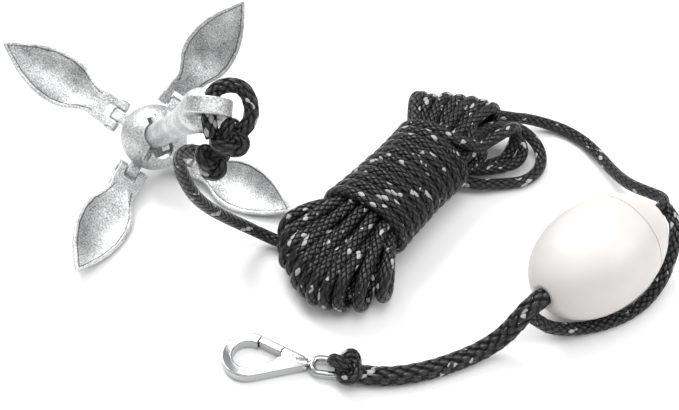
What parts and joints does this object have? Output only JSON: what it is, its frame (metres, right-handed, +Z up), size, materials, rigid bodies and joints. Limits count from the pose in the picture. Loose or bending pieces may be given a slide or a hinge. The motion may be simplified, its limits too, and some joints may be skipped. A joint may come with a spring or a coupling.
{
  "type": "folding grapnel anchor",
  "caption": "Galvanised folding grapnel anchor with hinged spoon flukes and a sliding lock collar, on a hanked braided rope with an egg float and a swivel snap hook.",
  "frame": {"origin": "on the ground, under the middle of the open anchor's own bounding box, leaving the rope and what is on it out", "axes": "+Z up; the anchor leans on its crown and two flukes, the shank's eye end pointing towards -Y and +X, and the rope lies towards +X"},
  "size_m": [0.4381, 0.2438, 0.1787],
  "materials": {
    "galvanised": "hot-dip galvanised casting, fine grain with a sparkle",
    "rope": "braided polypropylene with pale tracer flecks",
    "float_white": "smooth warm white moulding",
    "float_bore": "moulded tube",
    "hook_chrome": "polished stainless steel"
  },
  "bodies": {
    "anchor": {"shank": "galvanised", "crown": "galvanised", "crown_washer": "galvanised", "fluke_pin_1": "galvanised", "fluke_pin_2": "galvanised", "fluke_pin_3": "galvanised", "fluke_pin_4": "galvanised", "rope_eye_loop": "rope", "rope_knot_upper": "rope", "rope_knot_lower": "rope", "rope_lead": "rope", "hank_fan": "rope", "hank_winding": "rope", "hank_bights": "rope", "hank_loose_loop": "rope", "rope_run": "rope", "rope_through_float": "rope", "rope_float_loop": "rope", "rope_thick": "rope", "rope_hook_knot": "rope", "float_body": "float_white", "float_cap": "float_white", "float_bore_tube": "float_bore", "swivel_eye": "hook_chrome"},
    "collar": {"locking_collar": "galvanised"},
    "hook": {"hook_body": "hook_chrome", "gate_rivet": "hook_chrome"},
    "gate": {"hook_gate": "hook_chrome"},
    "fluke_1": {"fluke_1": "galvanised"},
    "fluke_2": {"fluke_2": "galvanised"},
    "fluke_3": {"fluke_3": "galvanised"},
    "fluke_4": {"fluke_4": "galvanised"}
  },
  "joints": [
    {"name": "fluke_1_hinge", "type": "hinge", "parent": "anchor", "child": "fluke_1", "pos_m": [-0.02459, 0.04556, 0.03936], "axis": [0.4921, 0.7533, 0.4363], "range_deg": [0, 90]},
    {"name": "fluke_2_hinge", "type": "hinge", "parent": "anchor", "child": "fluke_2", "pos_m": [0.01253, 0.06064, 0.03655], "axis": [0.815, -0.2227, -0.5349], "range_deg": [-27, 63]},
    {"name": "fluke_3_hinge", "type": "hinge", "parent": "anchor", "child": "fluke_3", "pos_m": [-0.01542, 0.01785, 0.01177], "axis": [-0.815, 0.2227, 0.5349], "range_deg": [-26.5, 63.5]},
    {"name": "fluke_4_hinge", "type": "hinge", "parent": "anchor", "child": "fluke_4", "pos_m": [0.0217, 0.03292, 0.00897], "axis": [-0.4921, -0.7533, -0.4363], "range_deg": [-34, 56]},
    {"name": "collar_slide", "type": "slide", "parent": "anchor", "child": "collar", "axis": [0.3058, -0.6188, 0.7236], "range_m": [0, 0.098]},
    {"name": "hook_swivel", "type": "hinge", "parent": "anchor", "child": "hook", "pos_m": [0.10418, -0.13209, 0.00375], "axis": [0.9903, -0.1392, 0], "continuous": true},
    {"name": "gate_hinge", "type": "hinge", "parent": "hook", "child": "gate", "pos_m": [0.0968, -0.12712, 0.00375], "axis": [0, 0, 1], "range_deg": [0, 25], "stiffness_Nm_per_rad": 0.03, "springref_deg": -28.65}
  ]
}
